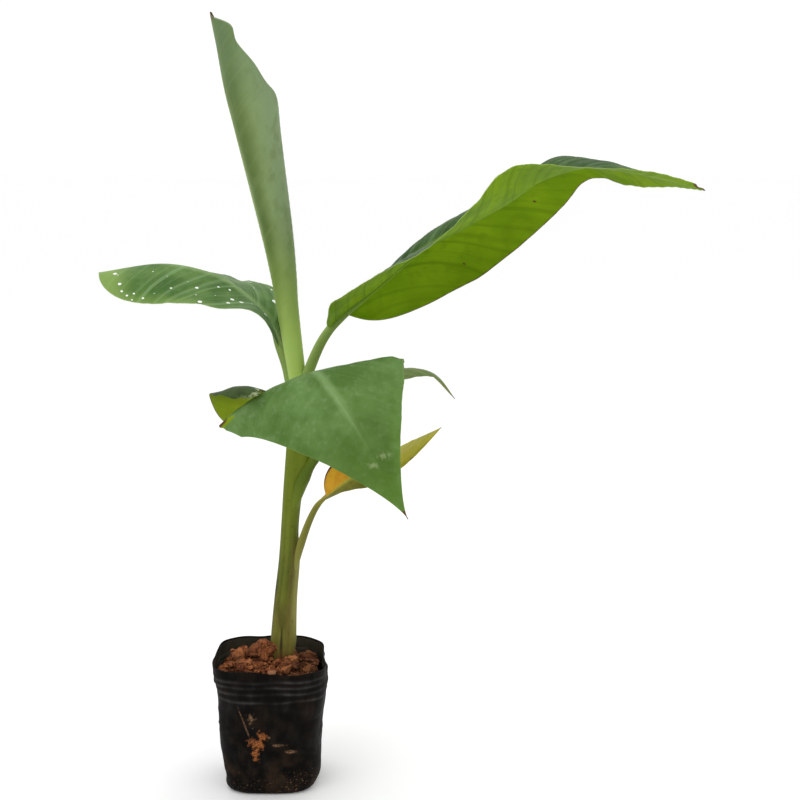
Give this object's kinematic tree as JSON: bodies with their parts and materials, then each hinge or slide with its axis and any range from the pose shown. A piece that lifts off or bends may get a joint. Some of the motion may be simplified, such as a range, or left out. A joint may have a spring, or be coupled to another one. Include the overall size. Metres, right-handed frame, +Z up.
{
  "type": "potted banana sapling",
  "caption": "Young banana plant in a soft black grow bag: a leaning sheathed stem with a rolled new leaf, broad arching blades on channelled stalks and an old yellow leaf.",
  "frame": {"origin": "middle of the grow bag's flat underside, on the surface that the bag stands on", "axes": "+Z up, -Y towards the side the plant is seen from, +X towards the long arching leaf"},
  "size_m": [0.554, 0.2914, 0.761],
  "materials": {
    "bag_film": "soft black film with dust and soil smears",
    "soil": "coarse red-brown clods",
    "stem": "smooth green sheaths with brown patches",
    "stalk": "smooth, waxy",
    "stalk_old": "dull, drying",
    "leaf": "satin with fine side veins",
    "leaf_rolled": "pale waxy bloom",
    "leaf_old": "dull, drying"
  },
  "bodies": {
    "root": {"grow_bag": "bag_film", "soil": "soil", "pseudostem": "stem", "rolled_leaf": "leaf_rolled", "stalk_left": "stalk", "blade_left": "leaf", "stalk_right": "stalk", "blade_right": "leaf", "stalk_front": "stalk", "blade_front_back": "leaf", "blade_front_fall": "leaf", "stalk_back": "stalk", "blade_back": "leaf", "stalk_old": "stalk_old", "blade_old": "leaf_old"}
  },
  "joints": []
}
